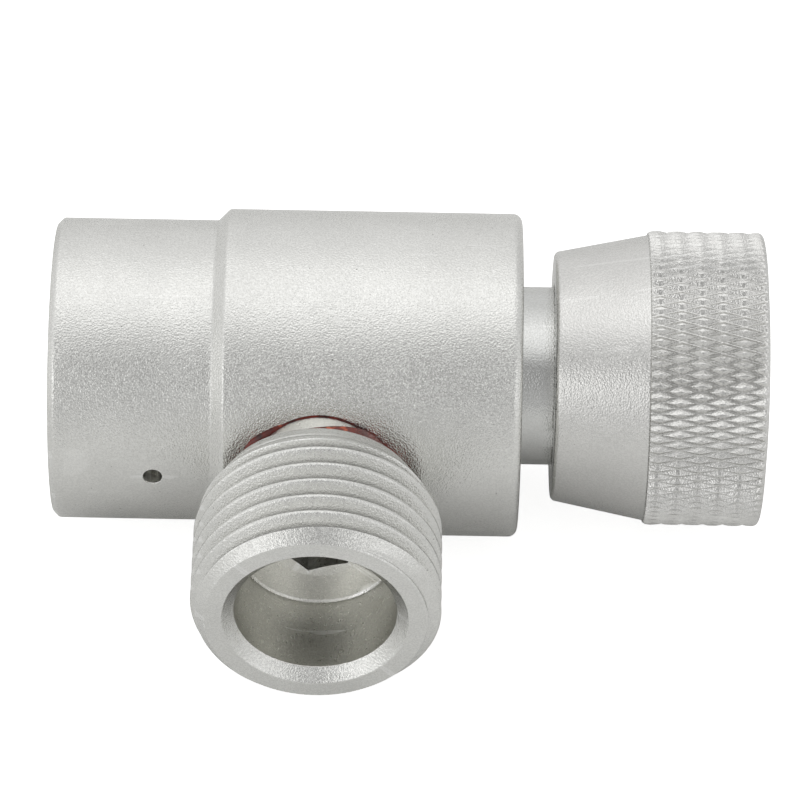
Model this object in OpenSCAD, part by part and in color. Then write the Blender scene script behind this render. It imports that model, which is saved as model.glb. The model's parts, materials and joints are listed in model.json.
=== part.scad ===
// On/off adapter valve for a small carbon dioxide cylinder.
// The cylinder screws into the socket at -X, the knob at +X pushes a pin that opens the
// cylinder's own valve, and the gas leaves through the threaded outlet that points to -Y.
// The main axis is X, and the origin is on it, in the plane of the socket's mouth. The two outside
// threads and the spindle's are rings of the true profile, not helices. The threads that only hold
// pieces together are plain walls.

/* [Body] */
// Outside diameter of the barrel
barrel_d = 28; // [27.6:0.1:30]
// Outside diameter of the socket end
socket_d = 26; // [25.6:0.1:27]
// From the mouth of the socket to the start of the step between socket and barrel
step_start = 13.85; // [13.4:0.05:14.2]
// From the mouth of the socket to the axis of the outlet
outlet_x = 23.1; // [22.8:0.1:24.5]
// From the mouth of the socket to the knob end of the barrel
barrel_end = 40.1; // [39.6:0.1:42]
// Corner radius at the knob end of the barrel
barrel_corner_r = 0.8; // [0.3:0.1:1.2]

/* [Cylinder socket] */
// Inside diameter over the thread crests of the socket (TR21 x 4)
socket_crest_d = 17; // [16.8:0.05:17.2]
// Diameter at the bottom of the socket's thread
socket_root_d = 21.5; // [21.2:0.05:21.7]
// Pitch of the socket's thread
socket_pitch = 4; // [3.5:0.5:4]
// Diameter of the vent hole through the socket wall
vent_d = 1.6; // [1:0.1:2]
// From the mouth of the socket to the vent hole
vent_x = 8.9; // [7:0.1:10]

/* [Outlet] */
// Outside diameter over the outlet's thread
outlet_d = 20.9; // [20.7:0.05:21.8]
// Pitch of the outlet's thread (14 to the inch)
outlet_pitch = 1.814; // [1.5:0.001:2]
// From the main axis to the outlet's sealing face
outlet_reach = 29.2; // [28.5:0.1:31]
// Diameter of the outlet's bore
outlet_bore_d = 13.5; // [12:0.1:14]
// Depth of the outlet's bore below the sealing face
outlet_bore_depth = 8.4; // [7:0.1:9]
// Size across flats of the key socket in the floor of the bore
outlet_hex_af = 6; // [5:0.5:6]
// How far the key socket ended up turned from the main axis when the outlet was screwed in
outlet_hex_turn = 17; // [0:1:59]
// Diameter of the nipple's collar where it enters the barrel
collar_d = 13.6; // [13.2:0.1:13.9]

/* [Knob] */
// Diameter over the knurl
knob_d = 25.5; // [25:0.1:27]
// Diameter of the knob's small end
knob_small_d = 21.6; // [20.5:0.1:22.5]
// Gap between the barrel and the knob, as assembled
knob_gap = 2.85; // [2.8:0.05:3.2]
// Length of the knob's smooth cone
cone_len = 7.9; // [7:0.1:9]
// Full length of the knob
knob_len = 18; // [17:0.1:20]

/* [Spindle] */
// Diameter over the spindle's thread
spindle_thread_d = 7.9; // [7.8:0.02:7.92]
// Pitch of the spindle's thread
spindle_pitch = 1.25; // [1:0.25:1.25]
// Diameter of the smooth neck of the bonnet
neck_d = 15.4; // [14.5:0.1:15.6]
// How far the spindle can still screw outwards
travel_out = 0.6; // [0.3:0.1:0.8]

/* [Hidden] */
$fn = 96;

// Clearances between neighbouring pieces
run_gap = 0.05;
seat_gap = 0.03;
touch_gap = 0.02;
loose_gap = 0.1;
// How far a cutting shape reaches past the piece that it cuts
over = 1;

// Socket end of the body
socket_r = socket_d / 2;
barrel_r = barrel_d / 2;
step_h = barrel_r - socket_r;
mouth_chamfer = 0.5;
socket_crest_r = socket_crest_d / 2;
socket_root_r = socket_root_d / 2;
socket_thread_start = 0.4;
socket_thread_end = 13;
relief_start = 13.3;
relief_r = socket_root_r + loose_gap;
socket_floor = 14.5;
seal_recess_r = 7;
seal_recess_floor = 15.9;

// Chamber in the middle of the body and the bore for the bonnet
chamber_r = 5.2;
chamber_start = outlet_x - 2.6;
guide_hole_r = 3.5;
guide_flange_r = chamber_r - 0.5;
guide_flange_end = chamber_start + 1.3;
bonnet_bore_r = 9;
bonnet_seat = barrel_end - 8.8;

// Outlet pocket and passage in the body, as distances from the main axis
pocket_r = collar_d / 2 + loose_gap;
pocket_floor = 9.6;
root_hole_r = 6;
root_hole_floor = 6.4;
gas_hole_r = 2.6;

// Bonnet
bonnet_face = barrel_end - loose_gap;
neck_r = neck_d / 2;
neck_end = barrel_end + 5.2;
packing_r = 5;
packing_end = barrel_end - 0.6;
spindle_thread_r = spindle_thread_d / 2;
spindle_bore_r = spindle_thread_r + run_gap;
ring_seat_r = 7;
ring_seat_w = 2.2;
ring_seat_depth = 1.3;

// Knob
knob_start = barrel_end + knob_gap;
knob_end = knob_start + knob_len;
knob_r = knob_d / 2;
knob_small_r = knob_small_d / 2;
cone_r = knob_r - 0.4;
cup_r = neck_r + 0.35;
cup_floor = knob_start + 5.75;
web_end = cup_floor + 4.8;
screw_well_r = 5.4;
screw_clear_r = 1.6;
washer_h = 0.8;
cap_r = 10.4;
cap_t = 1.4;
cap_proud = 0.2;

// Spindle, from its nose at the pin to its tang in the knob
nose_start = bonnet_seat - 2.3;
nose_r = 2.2;
head_start = bonnet_seat + 2.4;
head_r = packing_r - run_gap;
thrust_washer_t = 0.5;
head_end = packing_end - travel_out - thrust_washer_t;
ring_groove_r = 3.5;
ring_groove_w = 1.9;
ring_places = [head_start + 0.4, head_start + 2.5];
tang_r = 3.2;
tang_flat = 2.5;
tang_end = web_end - 0.3;
tapped_r = 1.5;

// Push pin and its spring
pin_r = 1.25;
pin_tip = socket_floor - 0.8;
pin_end = nose_start - touch_gap;
spring_washer_start = nose_start - 1.7;
clip_start = spring_washer_start + 0.6;
clip_t = 0.5;
clip_groove_r = 0.9;

// Turns a profile of [radius, distance along X] about the main axis.
module turned(profile) {
    rotate([0, 90, 0])
        rotate_extrude()
            polygon(profile);
}

// Turns a profile of [radius, distance from the main axis] about the outlet axis.
module turned_outlet(profile) {
    translate([outlet_x, 0, 0])
        rotate([90, 0, 0])
            rotate_extrude()
                polygon(profile);
}

// A round bar along X from x0 to x1.
module bar_x(r, x0, x1) {
    translate([x0, 0, 0])
        rotate([0, 90, 0])
            cylinder(r = r, h = x1 - x0);
}

// A round bar at x, square to the main axis, from s0 to s1 away from it.
module bar_outlet(r, s0, s1, x = outlet_x) {
    translate([x, -s0, 0])
        rotate([90, 0, 0])
            cylinder(r = r, h = s1 - s0);
}

// A flat ring round the outlet axis, from s0 to s1 away from the main axis.
module ring_outlet(r_out, r_in, s0, s1) {
    turned_outlet([[r_in, s0], [r_out, s0], [r_out, s1], [r_in, s1]]);
}

// A flat ring round the main axis, from x0 to x1.
module washer_x(r_out, r_in, x0, x1) {
    turned([[r_in, x0], [r_out, x0], [r_out, x1], [r_in, x1]]);
}

// A round-section ring about the main axis, centred at x.
module o_ring_x(r_mid, r_wire, x) {
    rotate([0, 90, 0])
        translate([0, 0, x])
            rotate_extrude()
                translate([r_mid, 0])
                    circle(r = r_wire, $fn = 32);
}

// Quarter-circle corner of radius r about [cr, cx], from angle a0 to a1.
function corner(cr, cx, r, a0, a1, steps = 8) =
    [for (i = [0:steps]) let (a = a0 + (a1 - a0) * i / steps) [cr + r * cos(a), cx + r * sin(a)]];

// Thread rings from x0 onwards. r_land is the radius between the grooves and r_groove the radius
// at their bottoms; land and flat are the widths of each, and the flanks slope in between.
function thread_rings(r_land, r_groove, x0, pitch, land, flat, count) =
    let (flank = (pitch - land - flat) / 2)
    [for (i = [0:count - 1], p = [
        [r_land, x0 + i * pitch + land],
        [r_groove, x0 + i * pitch + land + flank],
        [r_groove, x0 + i * pitch + land + flank + flat],
        [r_land, x0 + (i + 1) * pitch]
    ]) p];

function reversed(list) = [for (i = [len(list) - 1:-1:0]) list[i]];

// One turned aluminium piece: threaded socket, barrel, chamber and the bore for the bonnet.
module valve_body() {
    land = 1.46;
    flat = 1.33;
    grooves = 3;
    outside = concat(
        [
            [socket_r - mouth_chamfer, 0],
            [socket_r, mouth_chamfer],
            [socket_r, step_start],
            [barrel_r, step_start + step_h]
        ],
        corner(barrel_r - barrel_corner_r, barrel_end - barrel_corner_r, barrel_corner_r, 0, 90)
    );
    bonnet_side = [
        [bonnet_bore_r, barrel_end],
        [bonnet_bore_r, bonnet_seat],
        [chamber_r, bonnet_seat],
        [chamber_r, chamber_start],
        [guide_hole_r, chamber_start],
        [guide_hole_r, seal_recess_floor]
    ];
    socket_side = concat(
        [
            [seal_recess_r, seal_recess_floor],
            [seal_recess_r, socket_floor],
            [relief_r, socket_floor],
            [relief_r, relief_start],
            [socket_crest_r, socket_thread_end]
        ],
        reversed(thread_rings(socket_crest_r, socket_root_r, socket_thread_start, socket_pitch,
                              land, flat, grooves)),
        [[socket_crest_r, socket_thread_start], [socket_root_r, 0]]
    );
    color("silver")
        difference() {
            turned(concat(outside, bonnet_side, socket_side));
            bar_outlet(pocket_r, pocket_floor, barrel_r + over);
            bar_outlet(root_hole_r, root_hole_floor, pocket_floor + over);
            bar_outlet(gas_hole_r, 0, root_hole_floor + over);
            bar_outlet(vent_d / 2, socket_crest_r - over, socket_r + over, vent_x);
        }
}

// Flat seal that the cylinder's valve face presses on, at the floor of the socket.
module cylinder_seal() {
    hole_r = 3;
    proud = 0.5;
    color("white")
        washer_x(seal_recess_r - loose_gap, hole_r, socket_floor - proud, seal_recess_floor);
}

// Brass bush screwed into the middle wall. It guides the pin and lets gas pass beside it.
module pin_guide() {
    gas_slot_r = 0.5;
    gas_slot_place = 2.3;
    shank_r = guide_hole_r - seat_gap;
    color("goldenrod")
        difference() {
            turned([
                [0, seal_recess_floor],
                [shank_r, seal_recess_floor],
                [shank_r, chamber_start],
                [guide_flange_r, chamber_start],
                [guide_flange_r, guide_flange_end],
                [0, guide_flange_end]
            ]);
            bar_x(pin_r + run_gap, seal_recess_floor - over, guide_flange_end + over);
            for (turn = [0:90:270])
                rotate([turn, 0, 0])
                    translate([0, 0, gas_slot_place])
                        bar_x(gas_slot_r, seal_recess_floor - over, guide_flange_end + over);
        }
}

// Threaded hose or regulator connection, screwed into the barrel with a hexagon key. Its profile
// is in distances from the main axis.
module outlet_nipple() {
    crest_r = outlet_d / 2;
    thread_depth = 0.6134 * outlet_pitch;
    land = outlet_pitch / 8;
    flat = outlet_pitch / 4;
    grooves = 5;
    end_chamfer = 1.2;
    face_r = crest_r - end_chamfer;
    thread_stop = outlet_reach - end_chamfer;
    thread_start = thread_stop - grooves * outlet_pitch - land;
    back_r = crest_r - 1.85;
    back_face = thread_start - 3.4;
    collar_r = collar_d / 2;
    root_r = root_hole_r - seat_gap;
    root_start = root_hole_floor + 0.3;
    bore_r = outlet_bore_d / 2;
    countersink = 1.03;
    bore_floor = outlet_reach - outlet_bore_depth;
    floor_edge = 0.35;
    dish_r = 3.9;
    dish_floor = bore_floor - 0.3;
    key_r = outlet_hex_af / 2 / cos(30);
    key_lead = 0.22;
    key_depth = 6;
    color("silver")
        difference() {
            turned_outlet(concat(
                [
                    [gas_hole_r, root_start],
                    [root_r, root_start],
                    [root_r, pocket_floor],
                    [collar_r, pocket_floor],
                    [collar_r, back_face],
                    [back_r, back_face],
                    [crest_r, thread_start]
                ],
                thread_rings(crest_r, crest_r - thread_depth, thread_start, outlet_pitch,
                             land, flat, grooves),
                [
                    [crest_r, thread_stop],
                    [face_r, outlet_reach],
                    [bore_r + countersink, outlet_reach],
                    [bore_r, outlet_reach - countersink],
                    [bore_r, bore_floor + floor_edge],
                    [bore_r - floor_edge, bore_floor],
                    [dish_r, dish_floor],
                    [key_r - 0.5, dish_floor - key_lead],
                    [gas_hole_r, dish_floor - key_lead]
                ]
            ));
            translate([outlet_x, key_depth - dish_floor, 0])
                rotate([90, 0, 0])
                    rotate([0, 0, outlet_hex_turn])
                        cylinder(r = key_r, h = key_depth + over, $fn = 6);
        }
}

// Cured red thread sealant that fills the narrow gap round the nipple's collar and was squeezed out
// into a flat bead on the barrel.
module nipple_sealant() {
    collar_r = collar_d / 2;
    bead_r = collar_r + 0.8;
    bead_h = 0.3;
    top = barrel_r + over;
    color("firebrick")
        intersection() {
            bar_x(barrel_r + bead_h, outlet_x - bead_r - over, outlet_x + bead_r + over);
            union() {
                ring_outlet(pocket_r, collar_r, pocket_floor, top);
                difference() {
                    ring_outlet(bead_r, collar_r, pocket_floor, top);
                    bar_x(barrel_r, outlet_x - bead_r - over, outlet_x + bead_r + over);
                }
            }
        }
}

// Gland screwed into the barrel. Its neck carries the spindle's thread.
module bonnet() {
    key_slot_w = 2;
    key_slot_depth = 1.2;
    flange_r = bonnet_bore_r - seat_gap;
    ring_in = ring_seat_r - ring_seat_w / 2;
    ring_out = ring_seat_r + ring_seat_w / 2;
    color("silver")
        difference() {
            turned([
                [packing_r, bonnet_seat],
                [ring_in, bonnet_seat],
                [ring_in, bonnet_seat + ring_seat_depth],
                [ring_out, bonnet_seat + ring_seat_depth],
                [ring_out, bonnet_seat],
                [flange_r, bonnet_seat],
                [flange_r, bonnet_face],
                [neck_r, bonnet_face],
                [neck_r, neck_end],
                [spindle_bore_r, neck_end],
                [spindle_bore_r, packing_end],
                [packing_r, packing_end]
            ]);
            translate([neck_end - key_slot_depth, -neck_d, -key_slot_w / 2])
                cube([key_slot_depth + over, 2 * neck_d, key_slot_w]);
        }
}

// Ring that seals the bonnet against its seat in the body.
module bonnet_o_ring() {
    wire_r = 0.64;
    color("dimgray")
        o_ring_x(ring_seat_r, wire_r, bonnet_seat + ring_seat_depth / 2);
}

// Coil that pushes the pin back against the spindle.
module return_spring() {
    wire_r = 0.25;
    coil_r = 2.3;
    turns = 5;
    steps_per_turn = 20;
    sides = 8;
    end_gap = wire_r + touch_gap;
    first = guide_flange_end + end_gap;
    rise = spring_washer_start - end_gap - first;
    steps = turns * steps_per_turn;
    points = [
        for (i = [0:steps], k = [0:sides - 1])
            let (a = 360 * i / steps_per_turn, b = 360 * k / sides, r = coil_r + wire_r * cos(b))
            [first + rise * i / steps + wire_r * sin(b), r * cos(a), r * sin(a)]
    ];
    skin = [
        for (i = [0:steps - 1], k = [0:sides - 1])
            let (next = (k + 1) % sides)
            [i * sides + k, i * sides + next, (i + 1) * sides + next, (i + 1) * sides + k]
    ];
    start_face = [for (k = [sides - 1:-1:0]) k];
    end_face = [for (k = [0:sides - 1]) steps * sides + k];
    color("lightgray")
        polyhedron(points, concat(skin, [start_face, end_face]));
}

// Stainless pin that opens the cylinder's own valve.
module push_pin() {
    tip_r = 0.4;
    color("gainsboro")
        turned(concat(
            [[0, pin_tip]],
            corner(pin_r - tip_r, pin_tip + tip_r, tip_r, -90, 0),
            [
                [pin_r, clip_start],
                [clip_groove_r, clip_start],
                [clip_groove_r, clip_start + clip_t],
                [pin_r, clip_start + clip_t],
                [pin_r, pin_end],
                [0, pin_end]
            ]
        ));
}

// Washer that the spring pushes on.
module spring_washer() {
    washer_r = 3.3;
    color("silver")
        washer_x(washer_r, pin_r + seat_gap, spring_washer_start, clip_start);
}

// Spring clip in the pin's groove. It is open on one side.
module pin_clip() {
    clip_r = 2.6;
    opening = 1.5;
    color("dimgray")
        difference() {
            washer_x(clip_r, clip_groove_r + touch_gap,
                     clip_start + seat_gap, clip_start + clip_t - seat_gap);
            translate([clip_start - over, -opening / 2, 0])
                cube([clip_t + 2 * over, opening, clip_r + over]);
        }
}

// Stem that turns with the knob: nose, sealing head, thread and a tang with two flats.
module spindle() {
    land = spindle_pitch / 4;
    flat = spindle_pitch / 4;
    thread_depth = 0.6134 * spindle_pitch;
    thread_start = head_end + 1;
    thread_end = cup_floor;
    grooves = floor((thread_end - 0.6 - thread_start) / spindle_pitch);
    nose_chamfer = 0.3;
    tapped_depth = 7;
    flat_cut = tang_r - tang_flat + over;
    head = [
        for (place = ring_places, p = [
            [head_r, place],
            [ring_groove_r, place],
            [ring_groove_r, place + ring_groove_w],
            [head_r, place + ring_groove_w]
        ]) p
    ];
    color("silver")
        difference() {
            turned(concat(
                [
                    [0, nose_start],
                    [nose_r - nose_chamfer, nose_start],
                    [nose_r, nose_start + nose_chamfer],
                    [nose_r, head_start],
                    [head_r, head_start]
                ],
                head,
                [
                    [head_r, head_end],
                    [spindle_thread_r, head_end]
                ],
                thread_rings(spindle_thread_r, spindle_thread_r - thread_depth, thread_start,
                             spindle_pitch, land, flat, grooves),
                [
                    [spindle_thread_r, thread_end],
                    [tang_r, thread_end],
                    [tang_r, tang_end],
                    [tapped_r, tang_end],
                    [tapped_r, tang_end - tapped_depth],
                    [0, tang_end - tapped_depth]
                ]
            ));
            for (side = [-1, 1])
                translate([thread_end, side * (tang_flat + flat_cut / 2) - flat_cut / 2, -tang_r - over])
                    cube([tang_end - thread_end + over, flat_cut, 2 * (tang_r + over)]);
        }
}

// Two rubber rings that seal the turning head inside the bonnet.
module spindle_o_rings() {
    wire_r = 0.65;
    stretch = 0.12;
    color("dimgray")
        for (place = ring_places)
            o_ring_x(ring_groove_r + wire_r + stretch, wire_r, place + wire_r + touch_gap);
}

// Hard plastic rings behind the rubber ones, so that the pressure can't push them out.
module backup_rings() {
    ring_t = 0.5;
    color("ivory")
        for (place = ring_places)
            washer_x(head_r, ring_groove_r + seat_gap, place + ring_groove_w - ring_t, place + ring_groove_w);
}

// Slippery washer between the spindle's head and the shoulder inside the bonnet.
module thrust_washer() {
    color("ivory")
        washer_x(packing_r - loose_gap, spindle_bore_r + loose_gap, head_end, head_end + thrust_washer_t);
}

// Knurled grip: a cup round the bonnet's neck, a web on the tang and a well for the screw.
module knob() {
    end_corner_r = 0.5;
    edge = 0.25;
    knurl_step = 0.3;
    web_r = tang_r + seat_gap;
    block_r = web_r + 0.5;
    flat_w = block_r - tang_flat;
    color("silver")
        turned(concat(
            [
                [web_r, cup_floor],
                [cup_r, cup_floor],
                [cup_r, knob_start],
                [knob_small_r - edge, knob_start],
                [knob_small_r, knob_start + edge],
                [cone_r, knob_start + cone_len],
                [knob_r, knob_start + cone_len + knurl_step]
            ],
            corner(knob_r - end_corner_r, knob_end - end_corner_r, end_corner_r, 0, 90),
            [
                [cap_r, knob_end],
                [cap_r, knob_end - cap_t],
                [screw_well_r, knob_end - cap_t],
                [screw_well_r, web_end],
                [web_r, web_end]
            ]
        ));
    color("silver")
        intersection() {
            washer_x(block_r, tang_flat, cup_floor, web_end);
            for (side = [-1, 1])
                translate([cup_floor, side * (tang_flat + seat_gap + flat_w / 2) - flat_w / 2, -tang_r])
                    cube([web_end - cup_floor, flat_w, 2 * tang_r]);
        }
}

// Plain washer under the knob's screw.
module knob_washer() {
    washer_r = 5;
    color("silver")
        washer_x(washer_r, screw_clear_r, web_end, web_end + washer_h);
}

// Split spring washer that keeps the screw tight.
module lock_washer() {
    washer_r = 3;
    start = web_end + washer_h;
    split = 0.6;
    color("dimgray")
        difference() {
            washer_x(washer_r, screw_clear_r, start, start + washer_h);
            translate([start - over, -split / 2, 0])
                cube([washer_h + 2 * over, split, washer_r + over]);
        }
}

// Socket head screw that holds the knob on the tang.
module knob_screw() {
    start = web_end + 2 * washer_h;
    head_r = 2.75;
    head_h = 3;
    key_depth = 1.5;
    key_af = 2.5;
    shank_len = 7;
    color("dimgray")
        difference() {
            union() {
                bar_x(head_r, start, start + head_h);
                bar_x(tapped_r - seat_gap, start - shank_len, start + over);
            }
            translate([start + head_h - key_depth, 0, 0])
                rotate([0, 90, 0])
                    cylinder(r = key_af / 2 / cos(30), h = key_depth + over, $fn = 6);
        }
}

// Disc pressed into the knob's outer end.
module knob_cap() {
    edge = 0.2;
    rim_r = cap_r - seat_gap;
    color("silver")
        turned([
            [0, knob_end - cap_t],
            [rim_r, knob_end - cap_t],
            [rim_r, knob_end],
            [rim_r - edge, knob_end + cap_proud],
            [0, knob_end + cap_proud]
        ]);
}

valve_body();
cylinder_seal();
pin_guide();
outlet_nipple();
nipple_sealant();
bonnet();
bonnet_o_ring();
return_spring();
push_pin();
spring_washer();
pin_clip();
spindle();
spindle_o_rings();
backup_rings();
thrust_washer();
knob();
knob_washer();
lock_washer();
knob_screw();
knob_cap();
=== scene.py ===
import json
import math

import bmesh
import bpy
import numpy as np
from mathutils import Matrix, Vector, noise


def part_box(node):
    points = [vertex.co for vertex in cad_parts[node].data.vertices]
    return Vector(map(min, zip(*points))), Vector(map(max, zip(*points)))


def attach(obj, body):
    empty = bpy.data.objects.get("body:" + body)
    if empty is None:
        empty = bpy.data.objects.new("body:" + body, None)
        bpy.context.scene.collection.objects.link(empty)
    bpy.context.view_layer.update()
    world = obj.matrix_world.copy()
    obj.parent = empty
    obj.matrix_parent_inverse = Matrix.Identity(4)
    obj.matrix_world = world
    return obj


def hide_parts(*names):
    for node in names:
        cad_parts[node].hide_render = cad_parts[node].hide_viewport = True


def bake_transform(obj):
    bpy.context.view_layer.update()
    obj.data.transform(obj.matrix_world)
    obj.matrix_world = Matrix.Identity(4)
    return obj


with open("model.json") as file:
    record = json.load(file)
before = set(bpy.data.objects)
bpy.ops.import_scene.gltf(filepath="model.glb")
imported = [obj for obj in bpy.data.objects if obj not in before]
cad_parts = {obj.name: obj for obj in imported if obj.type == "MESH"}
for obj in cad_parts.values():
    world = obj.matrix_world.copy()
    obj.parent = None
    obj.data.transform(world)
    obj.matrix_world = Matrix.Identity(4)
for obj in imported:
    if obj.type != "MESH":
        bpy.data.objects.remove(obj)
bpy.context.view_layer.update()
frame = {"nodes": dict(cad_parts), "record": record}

# Everything is in metres. The main axis is X. The outlet points to -Y, and a distance along it is
# counted from the main axis. An outline is a closed run of (radius, distance along the axis) points.
# Names in _R are radii.
MM = 0.001
TURN = 2 * math.pi

# ---------------------------------------------------------------- sizes from the frame

mounts = {mount["name"]: mount for mount in frame["record"]["mounts"]}
body_low, body_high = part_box("valve_body")
nipple_low, nipple_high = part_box("outlet_nipple")
bonnet_low, bonnet_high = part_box("bonnet")
knob_low, knob_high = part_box("knob")
sealant_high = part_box("nipple_sealant")[1]
cap_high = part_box("knob_cap")[1]
seal_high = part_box("cylinder_seal")[1]
guide_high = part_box("pin_guide")[1]
pusher_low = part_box("spring_washer")[0]
knob_washer_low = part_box("knob_washer")[0]

# clearance between pieces that are screwed or pressed together
SEAT_GAP = 0.03 * MM

# outside of the body: a socket, a step up and a barrel
SOCKET_MOUTH = body_low.x
BARREL_END = body_high.x
BARREL_R = body_high.z
BARREL_CORNER_R = 0.8 * MM
STEP_H = 1 * MM
STEP_START = SOCKET_MOUTH + 13.85 * MM
SOCKET_R = BARREL_R - STEP_H
MOUTH_CHAMFER = 0.5 * MM
VENT_R = 0.8 * MM
VENT_X = SOCKET_MOUTH + 8.9 * MM

# the socket's thread: land and flat are the shares of the pitch at the crest and at the root
SOCKET_CREST_R = mounts["cylinder_thread"]["dims"]["r_mm"] * MM
SOCKET_ROOT_R = SOCKET_CREST_R + 2.25 * MM
SOCKET_PITCH = 4 * MM
SOCKET_LAND = 1.46 * MM / SOCKET_PITCH
SOCKET_FLAT = 1.33 * MM / SOCKET_PITCH
SOCKET_LEAD_IN = 1.2 * MM
SOCKET_THREAD_END = SOCKET_MOUTH + 13 * MM

# inside of the body, from the thread's relief to the bonnet's bore
RELIEF_START = SOCKET_THREAD_END + 0.3 * MM
RELIEF_R = SOCKET_ROOT_R + 0.1 * MM
SOCKET_FLOOR = SOCKET_MOUTH + 14.5 * MM
SEAL_RECESS_R = seal_high.z + 0.1 * MM
SEAL_RECESS_FLOOR = seal_high.x
GUIDE_HOLE_R = 3.5 * MM
CHAMBER_R = 5.2 * MM
CHAMBER_START = guide_high.x - 1.3 * MM
BONNET_BORE_R = bonnet_high.z + SEAT_GAP
BONNET_SEAT = bonnet_low.x

# outlet and its thread, with a crest that crosses the outlet's top at this distance
OUTLET_X = mounts["outlet_thread"]["pos_m"][0]
OUTLET_FACE = -nipple_low.y
OUTLET_CREST_R = mounts["outlet_thread"]["dims"]["r_mm"] * MM
OUTLET_PITCH = 25.4 / 14 * MM
OUTLET_THREAD_DEPTH = 0.6134 * OUTLET_PITCH
OUTLET_ROOT_R = OUTLET_CREST_R - OUTLET_THREAD_DEPTH
OUTLET_LAND = 0.16
OUTLET_FLAT = 0.20
OUTLET_CREST_AT_TOP = OUTLET_FACE - 0.79 * MM
OUTLET_CHAMFER = 1.2 * MM

# the outlet's bore, its dished floor and the hexagon socket in that
OUTLET_BORE_R = mounts["outlet_bore"]["dims"]["r_mm"] * MM
OUTLET_COUNTERSINK = 1.03 * MM
OUTLET_FLOOR = OUTLET_FACE - 8.4 * MM
FLOOR_EDGE = 0.20 * MM
DISH_R = 3.9 * MM
DISH_FLOOR = OUTLET_FLOOR - 0.3 * MM
KEY_ACROSS_FLATS = 6 * MM
KEY_R = KEY_ACROSS_FLATS / 2 / math.cos(math.radians(30))
KEY_TURN = math.radians(17)
KEY_LEAD = 0.22 * MM
KEY_DEPTH = 6 * MM

# back of the outlet: a cone behind the thread, a collar in the barrel's pocket, and a root
NIPPLE_BACK = OUTLET_FACE - 13.9 * MM
NIPPLE_BACK_R = OUTLET_CREST_R - 1.85 * MM
BACK_CONE_LEN = 3.4 * MM
NIPPLE_FOOT = -nipple_high.y
NIPPLE_ROOT_R = 5.97 * MM
COLLAR_R = 6.8 * MM
GAS_HOLE_R = 2.6 * MM
POCKET_R = COLLAR_R + 0.1 * MM
POCKET_FLOOR = -sealant_high.y
ROOT_HOLE_R = NIPPLE_ROOT_R + SEAT_GAP
ROOT_HOLE_FLOOR = 6.4 * MM

# the sealant's bead on the barrel
BEAD_W = sealant_high.z - POCKET_R
BEAD_H = 0.3 * MM

# bonnet: the spindle's rings run in the packing bore, which ends in a shoulder
PACKING_R = 5 * MM
PACKING_END = BARREL_END - 0.6 * MM
SHOULDER_GAP = 0.03 * MM
SPINDLE_BORE_R = 4 * MM
RING_SEAT_R = 7 * MM
RING_SEAT_HALF = 1.1 * MM
RING_SEAT_DEPTH = 1.3 * MM
NECK_R = 7.7 * MM
NECK_END = bonnet_high.x
BONNET_FACE = BARREL_END - 0.1 * MM
NECK_SLOT_HALF = 1 * MM
NECK_SLOT_DEPTH = 1.2 * MM

# knob: a cup over the neck, a web with a hole for the spindle's tang, and a well for the screw
KNOB_START = knob_low.x
KNOB_END = knob_high.x
KNOB_R = knob_high.z
KNOB_SMALL_R = 10.8 * MM
KNOB_EDGE = 0.25 * MM
CONE_END = KNOB_START + 7.9 * MM
CONE_R = KNOB_R - 0.4 * MM
KNURL_START = CONE_END + 0.15 * MM
KNOB_CORNER_R = 0.5 * MM
CUP_R = NECK_R + 0.35 * MM
CUP_FLOOR = KNOB_START + 5.75 * MM
WEB_END = knob_washer_low.x
TANG_HOLE_R = 3.23 * MM
TANG_HALF = 2.53 * MM
SCREW_WELL_R = 5.4 * MM
CAP_SEAT_R = 10.4 * MM
CAP_T = 1.4 * MM

# knurl: the number of diamonds round the rim, the size of one, the place of the first crossing as
# a share of that length, and the mesh's steps across a diamond and along it
KNURL_DIAMONDS = 82
KNURL_LENGTH = 3.53 * MM
KNURL_DEPTH = 0.30 * MM
KNURL_PHASE = 0.21
KNURL_STEPS = 20


# ---------------------------------------------------------------- outlines

def soften(points, size, steps=4):
    """Rounds the inner corners of a run of (radius, along) points."""
    rounded = [Vector(points[0])]
    for before, here, after in zip(points, points[1:], points[2:]):
        corner = Vector(here)
        back = Vector(before) - corner
        ahead = Vector(after) - corner
        reach = min(size, back.length * 0.4, ahead.length * 0.4)
        start = corner + back.normalized() * reach
        end = corner + ahead.normalized() * reach
        for step in range(steps + 1):
            t = step / steps
            rounded.append(start * (1 - t) ** 2 + corner * 2 * t * (1 - t) + end * t ** 2)
    rounded.append(Vector(points[-1]))
    return [tuple(point) for point in rounded]


def arc(radius, along, size, start_deg, end_deg, steps=10):
    """A round corner of an outline about (radius, along)."""
    angles = [math.radians(start_deg + (end_deg - start_deg) * i / steps) for i in range(steps + 1)]
    return [(radius + size * math.cos(a), along + size * math.sin(a)) for a in angles]


def straight(start, end, spacing):
    """Points between two others, at most this far apart, without the two ends."""
    first = Vector(start)
    run = Vector(end) - first
    count = int(math.ceil(run.length / spacing))
    return [tuple(first + run * i / count) for i in range(1, count)]


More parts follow.
